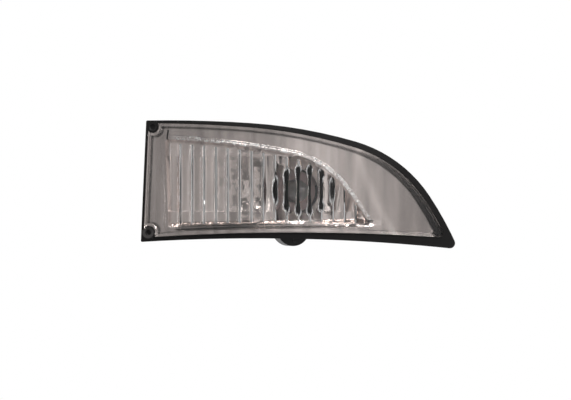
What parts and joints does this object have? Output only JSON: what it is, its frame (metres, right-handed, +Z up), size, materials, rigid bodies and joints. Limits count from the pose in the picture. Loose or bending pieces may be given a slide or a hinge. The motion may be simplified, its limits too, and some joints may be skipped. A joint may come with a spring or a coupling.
{
  "type": "vehicle indicator lamp",
  "caption": "Door mirror indicator lamp: clear fluted lens over a metallised reflector, pointed at one end, black housing with screw bosses and a twist-in bulb holder.",
  "frame": {"origin": "midway between the two screw boss mouths on the back, in the plane of their faces", "axes": "+Y out of the back along the screws, so the lens faces -Y; +X from the square end to the tip; +Z up"},
  "size_m": [0.1507, 0.0529, 0.0613],
  "materials": {
    "housing_plastic": "fine grained black moulding",
    "lens_clear": "clear polished",
    "reflector_metal": "metallised, bright",
    "holder_plastic": "matt black moulding",
    "seal_rubber": "matt",
    "contact_brass": "stamped strip",
    "bulb_clear": "clear",
    "filament_metal": "fine wire",
    "lead_metal": "drawn wire"
  },
  "bodies": {
    "root": {"housing": "housing_plastic", "lens": "lens_clear", "reflector": "reflector_metal", "bulb_holder": "holder_plastic", "holder_seal": "seal_rubber", "contact_left": "contact_brass", "contact_right": "contact_brass", "bulb_glass": "bulb_clear", "bulb_filament": "filament_metal", "bulb_lead_left": "lead_metal", "bulb_lead_right": "lead_metal"}
  },
  "joints": []
}
